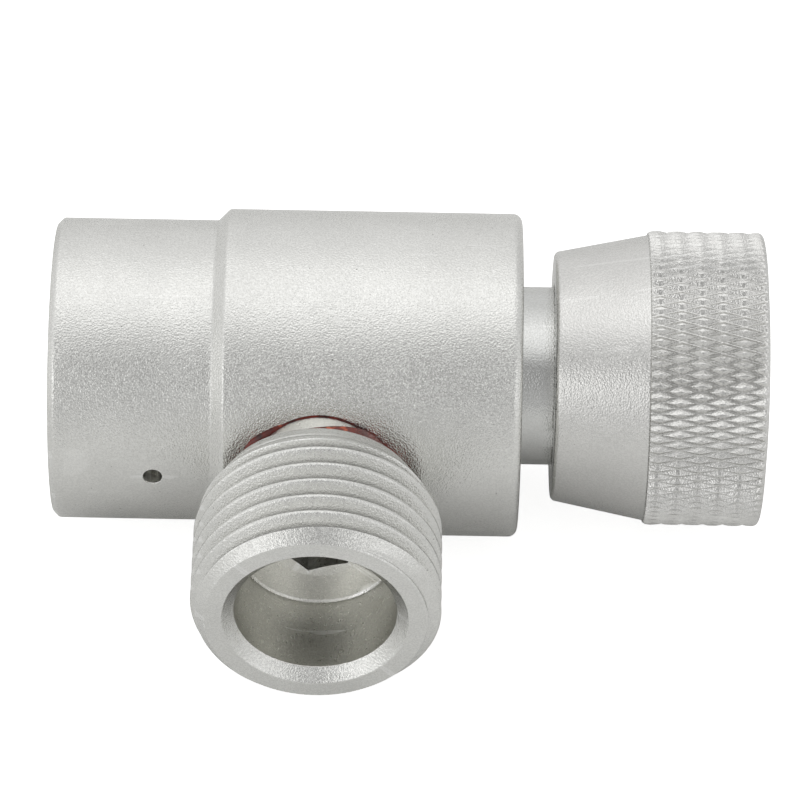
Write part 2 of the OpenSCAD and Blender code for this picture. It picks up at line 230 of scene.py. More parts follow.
def thread_corners(crest_r, root_r, land, flat, rounding, steps):
    """One turn of a thread as (share of the pitch, radius) pairs, from the middle of a crest.

    land and flat are the shares of the pitch that lie at the crest and at the root. The corners
    are rounded, and extra points between them keep the edge clean where a thread is trimmed.
    """
    flank = (1 - land - flat) / 2
    marks = [
        (-land / 2, crest_r),
        (land / 2, crest_r),
        (land / 2 + flank, root_r),
        (land / 2 + flank + flat, root_r),
    ]
    pairs = []
    for index, (share, radius) in enumerate(marks):
        last_share, last_r = marks[index - 1] if index else (marks[-1][0] - 1, marks[-1][1])
        next_share, next_r = marks[index + 1] if index < 3 else (marks[0][0] + 1, marks[0][1])
        into = (radius - last_r) / (share - last_share)
        out = (next_r - radius) / (next_share - share)
        for t in (-1, -0.5, 0, 0.5, 1):
            bow = (out - into) * rounding * (1 - abs(t)) ** 2 / 4
            slope = into if t < 0 else out
            pairs.append((share + t * rounding, radius + slope * t * rounding + bow))
        for step in range(1, steps):
            reach = rounding + (next_share - share - 2 * rounding) * step / steps
            pairs.append((share + reach, radius + out * reach))
    return pairs


# An outline for revolve() is a function of the angle, so that it may follow a thread.

def steady(points):
    """An outline that is the same at every angle."""
    array = np.array(points)

    def rows(angle):
        flat = np.zeros_like(angle)
        return array[:, 0] + flat, array[:, 1] + flat

    return rows


def helix(start, end, pitch, corners, limit, hand=1):
    """An outline along a thread from start to end.

    limit(radius, along) trims the thread to its blank. Rows that run past an end are gathered
    there, where all of them are trimmed to one radius, and are welded later.
    """
    turns = range(-2, int(math.ceil((end - start) / pitch)) + 2)
    shares = np.array([turn + share for turn in turns for share, _ in corners])
    radii = np.array([radius for _ in turns for _, radius in corners])

    def rows(angle):
        along = start + (shares + hand * angle / TURN) * pitch
        along = np.clip(along, start, end)
        return limit(radii + np.zeros_like(angle), along), along

    return rows


def joined(*parts):
    """One outline made of several, in order."""

    def rows(angle):
        pieces = [part(angle) for part in parts]
        radius = np.concatenate([piece[0] for piece in pieces], -1)
        along = np.concatenate([piece[1] for piece in pieces], -1)
        return radius, along

    return rows


def backwards(part):
    """The same outline in the opposite order."""

    def rows(angle):
        radius, along = part(angle)
        return radius[:, ::-1], along[:, ::-1]

    return rows


# ---------------------------------------------------------------- meshes

# a corner sharper than this breaks the smooth shading
CREASE_DEG = 28


def about_x(radius, along, angle):
    """Points at a radius and an angle about the main axis. The angle starts at -Y."""
    return np.stack([along, -radius * np.cos(angle), radius * np.sin(angle)], -1)


def about_outlet(radius, along, angle):
    """Points at a radius and an angle about the outlet's axis. The angle starts at +X."""
    return np.stack([OUTLET_X + radius * np.cos(angle), -along, radius * np.sin(angle)], -1)


def about_vent(radius, along, angle):
    """Points at a radius and an angle about the vent hole's axis."""
    return about_outlet(radius, along, angle) + np.array([VENT_X - OUTLET_X, 0, 0])


def grid_faces(columns, rows, lean=None):
    """Faces of a grid that is closed along its rows.

    lean says, for each cell, which of its diagonals becomes an edge: 1, -1, or 0 for neither.
    """
    column, row = np.meshgrid(np.arange(columns), np.arange(rows), indexing="ij")
    a = column * rows + row
    b = column * rows + (row + 1) % rows
    c = b + rows
    d = a + rows
    if lean is None:
        return np.stack([a, b, c, d], -1).reshape(-1, 4).tolist()
    plain = lean == 0
    rising = lean > 0
    falling = lean < 0
    faces = np.stack([a, b, c, d], -1)[plain].tolist()
    faces += np.stack([a, b, c], -1)[rising].tolist() + np.stack([a, c, d], -1)[rising].tolist()
    faces += np.stack([a, b, d], -1)[falling].tolist() + np.stack([b, c, d], -1)[falling].tolist()
    return faces


def revolve(name, outline, place, columns, crease_deg=CREASE_DEG, lean=None):
    """Turns an outline about an axis into a closed piece."""
    angle = (np.arange(columns + 1) * TURN / columns)[:, None]
    radius, along = outline(angle)
    points = place(radius, along, angle + np.zeros_like(radius))
    mesh = bpy.data.meshes.new(name)
    mesh.from_pydata(points.reshape(-1, 3).tolist(), [], grid_faces(columns, radius.shape[1], lean))
    return finish_mesh(name, mesh, crease_deg)


def finish_mesh(name, mesh, crease_deg=CREASE_DEG):
    """Welds a mesh, turns its faces outwards and makes the object for it."""
    weld = 0.0004 * MM
    work = bmesh.new()
    work.from_mesh(mesh)
    bmesh.ops.remove_doubles(work, verts=work.verts, dist=weld)
    bmesh.ops.dissolve_degenerate(work, edges=work.edges, dist=weld)
    loose = [edge for edge in work.edges if not edge.link_faces]
    bmesh.ops.delete(work, geom=loose, context="EDGES")
    bmesh.ops.recalc_face_normals(work, faces=work.faces)
    work.to_mesh(mesh)
    work.free()
    piece = bpy.data.objects.new(name, mesh)
    bpy.context.scene.collection.objects.link(piece)
    shade(piece, crease_deg)
    return piece


def shade(piece, crease_deg=CREASE_DEG):
    """Smooth shading that breaks at real corners."""
    mesh = piece.data
    mesh.polygons.foreach_set("use_smooth", [True] * len(mesh.polygons))
    mesh.set_sharp_from_angle(angle=math.radians(crease_deg))


def cut(piece, *cutters):
    """Cuts closed meshes out of a piece and removes them."""
    for cutter in cutters:
        modifier = piece.modifiers.new("cut", "BOOLEAN")
        modifier.operation = "DIFFERENCE"
        modifier.solver = "EXACT"
        modifier.object = cutter
        graph = bpy.context.evaluated_depsgraph_get()
        mesh = bpy.data.meshes.new_from_object(piece.evaluated_get(graph))
        piece.modifiers.remove(modifier)
        piece.data = mesh
        bpy.data.objects.remove(cutter)
    shade(piece)


def drill(hole_r, floor, wall_r, place, edge, columns):
    """A cutter for a round hole into a cylinder of radius wall_r, which breaks the hole's edge."""
    # how far out of the hole's wall and up from the cylinder each ring is, in edge sizes
    breaks = [(0, -1), (0.15, -0.55), (0.45, -0.2), (1, 0.15), (2, 0.8)]

    def rows(angle):
        flat = np.zeros_like(angle)
        radius = [flat, hole_r + flat]
        along = [floor + flat, floor + flat]
        for out, up in breaks:
            ring = hole_r + out * edge + flat
            radius.append(ring)
            along.append(np.sqrt(wall_r ** 2 - (ring * np.sin(angle)) ** 2) + up * edge)
        radius += [radius[-1], flat]
        along += [wall_r + 1 * MM + flat] * 2
        return np.concatenate(radius, -1), np.concatenate(along, -1)

    return revolve("drill", rows, place, columns)


def prism(corners, place, low, high):
    """A straight cutter with these (u, v) corners, from low to high."""
    count = len(corners)
    work = bmesh.new()
    verts = [work.verts.new(place(u, v, end)) for end in (low, high) for u, v in corners]
    work.faces.new(verts[:count])
    work.faces.new(verts[count:])
    for i in range(count):
        after = (i + 1) % count
        work.faces.new([verts[i], verts[after], verts[count + after], verts[count + i]])
    mesh = bpy.data.meshes.new("prism")
    work.to_mesh(mesh)
    work.free()
    return finish_mesh("prism", mesh)


def paint(piece, *materials, choose=None):
    """Gives a piece its materials. choose(face centre) is the number of the one a face takes."""
    mesh = piece.data
    mesh.materials.clear()
    for material in materials:
        mesh.materials.append(material)
    if choose:
        numbers = [choose(polygon.center) for polygon in mesh.polygons]
        mesh.polygons.foreach_set("material_index", numbers)


def install(piece, body, slot, *nodes):
    """Puts a piece on its body in place of CAD nodes."""
    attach(piece, body)
    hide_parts(*nodes)


# ---------------------------------------------------------------- materials

# marks in the blasted metal, as features to the metre
CLOUDS = 160
SCRATCHES = 1500
SPECKS = 2300
SMEARS = 2600
PITS = 6500
DENTS = 6800
DENT_DEPTH = 0.13 * MM

# colours of the marks, and of the metal itself
# outer edges: wear and a painted highlight
EDGE_WEAR_AND_PAINTED_HIGHLIGHT = (0.97, 0.97, 0.96)
# grooves and inner corners: painted shade
PAINTED_HOLLOW_SHADE = (0.27, 0.27, 0.26)
# deep in the outlet thread's grooves: painted shade
PAINTED_GROOVE_SHADE = (0.22, 0.22, 0.21)
PIT_GREY = (0.40, 0.40, 0.38)
SPECK_BROWN = (0.13, 0.12, 0.11)
SCRATCH_WHITE = (1.0, 1.0, 0.98)
SILVER = (0.835, 0.835, 0.81)

# sockets of a Mix node when it mixes colours
MIX_FIRST = 6
MIX_SECOND = 7
MIX_RESULT = 2


def new_material(name):
    """A new material, its node tree and its main shader."""
    material = bpy.data.materials.new(name)
    material.use_nodes = True
    return material, material.node_tree, material.node_tree.nodes["Principled BSDF"]


def grain(tree, scale, detail=2.0, stretch=(1, 1, 1)):
    """Noise in the piece's own space, with about this many features to the metre."""
    place = tree.nodes.new("ShaderNodeTexCoord")
    mapping = tree.nodes.new("ShaderNodeMapping")
    mapping.inputs["Scale"].default_value = stretch
    texture = tree.nodes.new("ShaderNodeTexNoise")
    texture.inputs["Scale"].default_value = scale
    texture.inputs["Detail"].default_value = detail
    tree.links.new(place.outputs["Object"], mapping.inputs["Vector"])
    tree.links.new(mapping.outputs["Vector"], texture.inputs["Vector"])
    return texture.outputs["Fac"]


def spread(tree, source, low, high, from_low=0.35, from_high=0.65):
    """Maps a signal from one range to another. Most noise lies in the range given here."""
    node = tree.nodes.new("ShaderNodeMapRange")
    node.inputs["From Min"].default_value = from_low
    node.inputs["From Max"].default_value = from_high
    node.inputs["To Min"].default_value = low
    node.inputs["To Max"].default_value = high
    tree.links.new(source, node.inputs["Value"])
    return node.outputs["Result"]


def mix_colours(tree, factor, first, second):
    """Mixes two colours by a 0 to 1 signal. Each is a colour or another node's output."""
    node = tree.nodes.new("ShaderNodeMix")
    node.data_type = "RGBA"
    tree.links.new(factor, node.inputs["Factor"])
    for index, colour in ((MIX_FIRST, first), (MIX_SECOND, second)):
        if isinstance(colour, tuple):
            node.inputs[index].default_value = (*colour, 1)
        else:
            tree.links.new(colour, node.inputs[index])
    return node.outputs[MIX_RESULT]


def darker(colour, share):
    """The same colour with this share of its brightness."""
    return tuple(channel * share for channel in colour)


def raise_surface(tree, shader, height, depth, strength):
    """Adds a bump of this depth to a shader, on top of any bump it already has."""
    bump = tree.nodes.new("ShaderNodeBump")
    bump.inputs["Strength"].default_value = strength
    bump.inputs["Distance"].default_value = depth
    tree.links.new(height, bump.inputs["Height"])
    for link in shader.inputs["Normal"].links:
        tree.links.new(link.from_socket, bump.inputs["Normal"])
    tree.links.new(bump.outputs["Normal"], shader.inputs["Normal"])


def edges_and_hollows(tree, base, edge_wear_and_highlight, hollow_shade_amount):
    """Brightens outer edges, as wear and a painted highlight, and darkens grooves and corners with
    painted shade, by these amounts.
    """
    bend = tree.nodes.new("ShaderNodeNewGeometry").outputs["Pointiness"]
    # painted highlight on sharp outer edges, partly wear
    base = mix_colours(tree, spread(tree, bend, 0, edge_wear_and_highlight, 0.52, 0.58), base, EDGE_WEAR_AND_PAINTED_HIGHLIGHT)
    # painted shade in grooves and inner corners
    return mix_colours(tree, spread(tree, bend, hollow_shade_amount, 0, 0.43, 0.495), base, PAINTED_HOLLOW_SHADE)


def groove_shade(tree, base, amount):
    """Darkens a colour with painted shade, by this amount, in the deep 40% of the outlet's thread."""
    place = tree.nodes.new("ShaderNodeTexCoord")
    across = tree.nodes.new("ShaderNodeMapping")
    across.inputs["Location"].default_value = (-OUTLET_X, 0, 0)
    across.inputs["Scale"].default_value = (1, 0, 1)
    radius = tree.nodes.new("ShaderNodeVectorMath")
    radius.operation = "LENGTH"
    tree.links.new(place.outputs["Object"], across.inputs["Vector"])
    tree.links.new(across.outputs["Vector"], radius.inputs[0])
    top_r = OUTLET_ROOT_R + 0.4 * OUTLET_THREAD_DEPTH
    depth = spread(tree, radius.outputs["Value"], amount, 0, OUTLET_ROOT_R, top_r)
    return mix_colours(tree, depth, base, PAINTED_GROOVE_SHADE)


def blasted_aluminium(name, tint, roughness, bite, hollow_shade_amount, scratched=0.2, groove_shade_amount=0):
    """Bead-blasted, anodised aluminium: dents, pits, clouding, rare specks and scratches, worn edges
    with a painted highlight, and painted shade in the hollows.

    bite is how much the dents catch the light, and the next argument is how dark the painted shade in
    the hollows is.
    """
    material, tree, shader = new_material(name)
    clouds = spread(tree, grain(tree, CLOUDS, 3), 0, 1)
    base = mix_colours(tree, clouds, darker(tint, 0.94), tint)
    pits = spread(tree, grain(tree, PITS, 1), 0, 0.22, 0.62, 0.40)
    base = mix_colours(tree, pits, base, PIT_GREY)
    specks = spread(tree, grain(tree, SPECKS, 1), 0, 0.8, 0.80, 0.83)
    base = mix_colours(tree, specks, base, SPECK_BROWN)
    scratches = spread(tree, grain(tree, SCRATCHES, 1, (0.1, 1.0, 0.1)), 0, scratched, 0.70, 0.73)
    base = mix_colours(tree, scratches, base, SCRATCH_WHITE)
    # painted highlight on the edges and painted shade in the hollows
    base = edges_and_hollows(tree, base, 0.5, hollow_shade_amount)
    # painted shade deep in the thread's grooves
    if groove_shade_amount:
        base = groove_shade(tree, base, groove_shade_amount)
    tree.links.new(base, shader.inputs["Base Color"])
    shader.inputs["Metallic"].default_value = 1
    gloss = spread(tree, grain(tree, SMEARS), roughness - 0.03, roughness + 0.03)
    tree.links.new(gloss, shader.inputs["Roughness"])
    raise_surface(tree, shader, grain(tree, DENTS, 1), DENT_DEPTH, bite)
    return material


def turned_metal(name, tint, roughness):
    """Metal with the fine rings that a lathe leaves round the main axis."""
    material, tree, shader = new_material(name)
    clouds = spread(tree, grain(tree, 300, 3), 0, 1)
    base = mix_colours(tree, clouds, darker(tint, 0.86), tint)
    tree.links.new(base, shader.inputs["Base Color"])
    shader.inputs["Metallic"].default_value = 1
    rings = grain(tree, 9000, 2, (1.0, 0.02, 0.02))
    tree.links.new(spread(tree, rings, roughness - 0.06, roughness + 0.06), shader.inputs["Roughness"])
    raise_surface(tree, shader, rings, 0.012 * MM, 0.5)
    raise_surface(tree, shader, grain(tree, 4200), 0.02 * MM, 0.3)
    return material


def polymer(name, tint, roughness, scale):
    """Plastic or rubber with a faint mottle and a moulded skin."""
    material, tree, shader = new_material(name)
    mottle = spread(tree, grain(tree, scale, 3), 0, 1)
    base = mix_colours(tree, mottle, darker(tint, 0.8), tint)
    tree.links.new(base, shader.inputs["Base Color"])
    gloss = spread(tree, grain(tree, scale * 4), roughness - 0.08, roughness + 0.08)
    tree.links.new(gloss, shader.inputs["Roughness"])
    raise_surface(tree, shader, grain(tree, scale * 3), 0.02 * MM, 0.4)
    return material


def cured_sealant(name):
    """Red-brown resin: thick places are nearly black, and scattered orange patches are partly the
    colour of thin resin and partly a painted glint.
    """
    material, tree, shader = new_material(name)
    nearly_black = (0.040, 0.004, 0.002)
    red_brown = (0.17, 0.014, 0.005)
    orange = (0.50, 0.09, 0.03)
    depth = spread(tree, grain(tree, 700, 3), 0, 1, 0.4, 0.62)
    base = mix_colours(tree, depth, nearly_black, red_brown)
    # orange patches: thin resin colour with a painted glint
    thin_resin_and_glint = spread(tree, grain(tree, 1100, 2), 0, 1, 0.60, 0.68)
    base = mix_colours(tree, thin_resin_and_glint, base, orange)
    tree.links.new(base, shader.inputs["Base Color"])
    shader.inputs["Roughness"].default_value = 0.16
    raise_surface(tree, shader, grain(tree, 1300), 0.06 * MM, 0.6)
    return material


blasted = blasted_aluminium("blasted_aluminium", SILVER, roughness=0.23, bite=0.44, hollow_shade_amount=0.45)
# the thread's metal, with painted shade deep in its grooves
thread_metal = blasted_aluminium(
    "thread_aluminium", SILVER, roughness=0.23, bite=0.44, hollow_shade_amount=0.45, groove_shade_amount=0.75
)
knob_metal = blasted_aluminium(
    "knob_aluminium", (0.78, 0.775, 0.755), roughness=0.20, bite=0.30, hollow_shade_amount=0.9
)
bore_metal = blasted_aluminium(
    "bore_aluminium", (0.80, 0.795, 0.75), roughness=0.30, bite=0.3, hollow_shade_amount=0.3, scratched=1.0
)
neck_metal = blasted_aluminium(
    "neck_aluminium", (0.70, 0.705, 0.69), roughness=0.15, bite=0.2, hollow_shade_amount=0.3
)
steel = turned_metal("stainless_steel", (0.62, 0.62, 0.61), roughness=0.3)
black_steel = turned_metal("blackened_steel", (0.16, 0.16, 0.17), roughness=0.42)
brass = turned_metal("turned_brass", (0.78, 0.58, 0.27), roughness=0.3)
white_plastic = polymer("white_seal_plastic", (0.86, 0.86, 0.82), roughness=0.5, scale=500)
rubber = polymer("black_rubber", (0.025, 0.025, 0.027), roughness=0.6, scale=900)
sealant = cured_sealant("cured_red_sealant")


# ---------------------------------------------------------------- body

def make_body():
    """Socket with its helical thread, barrel, chamber, outlet pocket and vent hole."""
    side_row = 0.8 * MM
    mouth_row = 0.2 * MM
    outer_edge = 0.14 * MM
    inner_edge = 0.08 * MM
    socket_start = (SOCKET_R, SOCKET_MOUTH + 2 * MOUTH_CHAMFER)
    socket_stop = (SOCKET_R, STEP_START - STEP_H)
    barrel_start = (BARREL_R, STEP_START + 2 * STEP_H)
    barrel_stop = (BARREL_R, BARREL_END - BARREL_CORNER_R)
    mouth_inner = (SOCKET_ROOT_R, SOCKET_MOUTH)
    mouth_outer = (SOCKET_R - MOUTH_CHAMFER, SOCKET_MOUTH)
    mouth = soften(
        [
            mouth_inner,
            *straight(mouth_inner, mouth_outer, mouth_row),
            mouth_outer,
            (SOCKET_R, SOCKET_MOUTH + MOUTH_CHAMFER),
            socket_start,
        ],
        outer_edge,
    )
    cone = [(SOCKET_R, STEP_START), (BARREL_R, STEP_START + STEP_H)]
    step = soften([socket_stop, *cone, barrel_start], outer_edge)
    outside = mouth + straight(socket_start, socket_stop, side_row)
    outside += step + straight(barrel_start, barrel_stop, side_row)
    corner = arc(BARREL_R - BARREL_CORNER_R, BARREL_END - BARREL_CORNER_R, BARREL_CORNER_R, 0, 90)
    inside = soften(
        [
            (BONNET_BORE_R + 0.4 * MM, BARREL_END),
            (BONNET_BORE_R, BARREL_END),
            (BONNET_BORE_R, BONNET_SEAT),
            (CHAMBER_R, BONNET_SEAT),
            (CHAMBER_R, CHAMBER_START),
            (GUIDE_HOLE_R, CHAMBER_START),
            (GUIDE_HOLE_R, SEAL_RECESS_FLOOR),
            (SEAL_RECESS_R, SEAL_RECESS_FLOOR),
            (SEAL_RECESS_R, SOCKET_FLOOR),
            (RELIEF_R, SOCKET_FLOOR),
            (RELIEF_R, RELIEF_START + 0.2 * MM),
        ],
        inner_edge,
    )

    def limit(radius, along):
        lead_in = (along - SOCKET_MOUTH) / SOCKET_LEAD_IN
        run_out = (along - SOCKET_THREAD_END) / (RELIEF_START - SOCKET_THREAD_END)
        mouth_cone = SOCKET_ROOT_R + (SOCKET_CREST_R - SOCKET_ROOT_R) * lead_in
        end_cone = SOCKET_CREST_R + (RELIEF_R - SOCKET_CREST_R) * run_out
        return np.maximum(radius, np.maximum(mouth_cone, end_cone))

    corners = thread_corners(
        SOCKET_CREST_R, SOCKET_ROOT_R, SOCKET_LAND, SOCKET_FLAT, rounding=0.03, steps=12
    )
    thread = helix(SOCKET_MOUTH, RELIEF_START, SOCKET_PITCH, corners, limit, hand=-1)
    outline = joined(steady(outside + corner + inside), backwards(thread))
    piece = revolve("valve_body_skin", outline, about_x, columns=288)
    pocket = drill(POCKET_R, POCKET_FLOOR, BARREL_R, about_outlet, edge=0.08 * MM, columns=200)
    root_hole = revolve(
        "root_drill",
        steady([
            (0, 0),
            (GAS_HOLE_R, 0),
            (GAS_HOLE_R, ROOT_HOLE_FLOOR),
            (ROOT_HOLE_R, ROOT_HOLE_FLOOR),
            (ROOT_HOLE_R, POCKET_FLOOR + 1 * MM),
            (0, POCKET_FLOOR + 1 * MM),
        ]),
        about_outlet,
        columns=96,
    )
    vent_floor = SOCKET_CREST_R - 1 * MM
    vent = drill(VENT_R, vent_floor, SOCKET_R, about_vent, edge=0.07 * MM, columns=64)
    cut(piece, pocket, root_hole, vent)

    def choose(centre):
        radius = math.hypot(centre.y, centre.z)
        slack = 0.01 * MM
        in_socket = radius < RELIEF_R + slack and centre.x < SEAL_RECESS_FLOOR
        return int(in_socket or radius < BONNET_BORE_R + slack)

    paint(piece, blasted, bore_metal, choose=choose)
    install(piece, "housing", "anodised_body", "valve_body")


# ---------------------------------------------------------------- outlet

def make_nipple():
    """Outlet with its helical thread, countersunk bore and hexagon key socket."""

    def limit(radius, along):
        back_slope = (OUTLET_CREST_R - NIPPLE_BACK_R) / BACK_CONE_LEN
        back_cone = NIPPLE_BACK_R + (along - NIPPLE_BACK) * back_slope
        front_cone = OUTLET_CREST_R - OUTLET_CHAMFER + (OUTLET_FACE - along)
        return np.minimum(radius, np.minimum(back_cone, front_cone))

    # the top of the outlet is a quarter turn on from where the helix starts
    shift = ((OUTLET_CREST_AT_TOP - NIPPLE_BACK) / OUTLET_PITCH - 0.25) % 1
    corners = thread_corners(
        OUTLET_CREST_R, OUTLET_ROOT_R, OUTLET_LAND, OUTLET_FLAT, rounding=0.045, steps=5
    )
    corners = [(share + shift, radius) for share, radius in corners]
    thread = helix(NIPPLE_BACK, OUTLET_FACE, OUTLET_PITCH, corners, limit)
    face_rim = (OUTLET_CREST_R - OUTLET_CHAMFER, OUTLET_FACE)
    face_lip = (OUTLET_BORE_R + OUTLET_COUNTERSINK, OUTLET_FACE)
    bore_lip = (OUTLET_BORE_R, OUTLET_FACE - OUTLET_COUNTERSINK)
    bore_stop = (OUTLET_BORE_R, OUTLET_FLOOR + FLOOR_EDGE)
    face_row = 0.15 * MM
    bore_row = 0.5 * MM
    rounding = 0.07 * MM
    inside = soften(
        [
            face_rim,
            *straight(face_rim, face_lip, face_row),
            face_lip,
            *straight(face_lip, bore_lip, face_row),
            bore_lip,
            *straight(bore_lip, bore_stop, bore_row),
            bore_stop,
            (OUTLET_BORE_R - FLOOR_EDGE, OUTLET_FLOOR),
            (DISH_R, DISH_FLOOR),
            (KEY_R - 0.5 * MM, DISH_FLOOR - KEY_LEAD),
            (GAS_HOLE_R, DISH_FLOOR - KEY_LEAD),
            (GAS_HOLE_R, NIPPLE_FOOT),
            (NIPPLE_ROOT_R, NIPPLE_FOOT),
            (NIPPLE_ROOT_R, POCKET_FLOOR),
            (COLLAR_R, POCKET_FLOOR),
            (COLLAR_R, NIPPLE_BACK),
            (NIPPLE_BACK_R, NIPPLE_BACK),
        ],
        rounding,
    )
    piece = revolve("outlet_nipple_skin", joined(thread, steady(inside)), about_outlet, columns=360)
    corner_angles = [KEY_TURN + TURN * i / 6 for i in range(6)]
    key = prism(
        [(KEY_R * math.cos(a), KEY_R * math.sin(a)) for a in corner_angles],
        lambda u, v, end: (OUTLET_X + u, -end, v),
        DISH_FLOOR - KEY_DEPTH,
        DISH_FLOOR + 1 * MM,
    )
    cut(piece, key)

    def choose(centre):
        radius = math.hypot(centre.x - OUTLET_X, centre.z)
        along = -centre.y
        slack = 0.05 * MM
        if radius < OUTLET_BORE_R + slack and along > POCKET_FLOOR:
            return 1
        in_thread = NIPPLE_BACK + 0.5 * BACK_CONE_LEN < along < OUTLET_FACE - OUTLET_CHAMFER
        return 2 if in_thread and radius > OUTLET_ROOT_R - slack else 0

    paint(piece, blasted, bore_metal, thread_metal, choose=choose)
    install(piece, "housing", "anodised_outlet", "outlet_nipple")


def uneven(angle, seed, lumps):
    """Smooth noise round a circle, about -1 to 1, that closes on itself."""
    points = [Vector((math.cos(a) * lumps, math.sin(a) * lumps, seed)) for a in angle[:, 0]]
    return np.array([noise.noise(point) for point in points])[:, None]


def side(angle, gain, level, most=1):
    """Rises from 0 to most towards the knob's side, or the socket's side if the gain is negative."""
    return np.clip(gain * np.cos(angle) + level, 0, most)


def make_sealant():
    """Cured sealant: a bead on the barrel at the sides, and a smear on the collar.

    The knob's side is filled up to the thread, and the other side has more on the barrel.
    """
    inner = COLLAR_R - 0.03 * MM
    floor = POCKET_FLOOR + 0.05 * MM
    wall = POCKET_R - 0.01 * MM
    top = NIPPLE_BACK - 0.01 * MM

    def on_barrel(angle, radius):
        return np.sqrt(BARREL_R ** 2 - (radius * np.sin(angle)) ** 2)

    def bead(angle):
        """Outer radius and height of the bead."""
        spill = side(angle, 3.8, -2.4, 0.95) + side(angle, -2.6, -1.1, 0.95)
        width = BEAD_W * (0.04 + spill) * (1 + 0.15 * uneven(angle, 1, 4))
        height = BEAD_H * (0.10 + 0.75 * spill) * (1 + 0.25 * uneven(angle, 2, 5))
        return POCKET_R + np.clip(width, 0.02 * MM, BEAD_W), height

    def smear(angle):
        """How far the smear reaches down from the thread, and how thick it is."""
        right = side(angle, 1.6, 0)
        left = side(angle, -1.3, -0.4)
        reach = 1.75 + 0.6 * side(angle, 1.6, 0.35) + 0.8 * side(angle, 1.6, -0.6) + 0.9 * left
        thick = 0.05 + 0.50 * right + 0.30 * left
        reach = reach + 0.1 * uneven(angle, 4, 3)
        return reach * MM, (thick + 0.04 * uneven(angle, 5, 6)) * MM

    def rows(angle):
        outer, height = bead(angle)
        reach, thick = smear(angle)
        smear_end = np.maximum(top - reach, on_barrel(angle, COLLAR_R) + height)
        steps = [
            (inner, floor),
            (wall, floor),
            (wall, on_barrel(angle, POCKET_R) - 0.10 * MM),
            (outer, on_barrel(angle, outer) - 0.02 * MM),
            (outer - 0.04 * MM, on_barrel(angle, outer) + height * 0.35),
            (outer * 0.8 + COLLAR_R * 0.2, on_barrel(angle, outer) + height * 0.75),
            (outer * 0.5 + COLLAR_R * 0.5, on_barrel(angle, POCKET_R) + height * 0.9),
            (COLLAR_R + 0.05 * MM, on_barrel(angle, COLLAR_R) + height * 1.3),
            (inner, on_barrel(angle, COLLAR_R) + height * 1.5),
            (inner, smear_end),
            (COLLAR_R + thick * 0.7, smear_end + 0.12 * MM),
            (COLLAR_R + thick, smear_end + 0.3 * MM),
            (COLLAR_R + thick + 0.25 * MM, top),
            (inner, top),
        ]
        flat = np.zeros_like(angle)
        radius = np.concatenate([radius + flat for radius, _ in steps], -1)
        along = np.concatenate([along + flat for _, along in steps], -1)
        return radius, along

    piece = revolve("nipple_sealant_bead", rows, about_outlet, columns=240, crease_deg=80)
    paint(piece, sealant)
    install(piece, "housing", "red_sealant", "nipple_sealant")


# ---------------------------------------------------------------- bonnet and knob

def make_bonnet():
    """Gland with its smooth neck and the slot for the key that tightens it."""
    rounding = 0.15 * MM
    outline = soften(
        [
            (PACKING_R, BONNET_SEAT + 1 * MM),
            (PACKING_R, BONNET_SEAT),
            (RING_SEAT_R - RING_SEAT_HALF, BONNET_SEAT),
            (RING_SEAT_R - RING_SEAT_HALF, BONNET_SEAT + RING_SEAT_DEPTH),
            (RING_SEAT_R + RING_SEAT_HALF, BONNET_SEAT + RING_SEAT_DEPTH),
            (RING_SEAT_R + RING_SEAT_HALF, BONNET_SEAT),
            (BONNET_BORE_R - SEAT_GAP, BONNET_SEAT),
            (BONNET_BORE_R - SEAT_GAP, BONNET_FACE),
            (NECK_R, BONNET_FACE),
            (NECK_R, NECK_END),
            (SPINDLE_BORE_R, NECK_END),
            (SPINDLE_BORE_R, NECK_END - 1 * MM),
        ],
        rounding,
    )
    # sharp corners, because the thrust washer comes up against this shoulder
    shoulder = PACKING_END + SHOULDER_GAP
    outline += [(SPINDLE_BORE_R, shoulder), (PACKING_R, shoulder)]
    piece = revolve("bonnet_skin", steady(outline), about_x, columns=256)
    reach = NECK_R + 1 * MM
    half = NECK_SLOT_HALF
    slot = prism(
        [(-reach, -half), (reach, -half), (reach, half), (-reach, half)],
        lambda u, v, end: (end, u, v),
        NECK_END - NECK_SLOT_DEPTH,
        NECK_END + 1 * MM,
    )
    cut(piece, slot)
    paint(piece, neck_metal)
    install(piece, "housing", "anodised_bonnet", "bonnet")


def scramble(rising, falling):
    """A number from 0 to 1 for each diamond, which looks random and is always the same."""
    rising_step = 37
    falling_step = 101
    turn_on = 12.9898
    magnify = 43758.5453
    which = (rising * rising_step + falling * falling_step) % (rising_step * KNURL_DIAMONDS)
    return np.sin(which * turn_on) * magnify % 1


def knurl_surface(angle, along):
    """How deep each point lies under the knurl's tips, and which way its nearest groove leans.

    Two sets of grooves cross. Each diamond between them is a pyramid with a worn, uneven tip.
    """
    steps = (along - KNURL_START) / KNURL_LENGTH - KNURL_PHASE
    around = angle * KNURL_DIAMONDS / TURN
    rising = around - steps
    falling = around + steps
    to_rising = np.abs(rising - np.round(rising))
    to_falling = np.abs(falling - np.round(falling))
    nearest = np.minimum(to_rising, to_falling)
    tiny = 1e-6
    worn = scramble(np.floor(rising + tiny), np.floor(falling + tiny))
    tip = 0.33 + 0.10 * worn
    groove = 1 / KNURL_STEPS
    height = np.clip((nearest - groove) / (tip - groove), 0, 1) * (0.86 + 0.14 * worn)
    return KNURL_DEPTH * (1 - height), np.where(to_rising < to_falling, 1, -1)


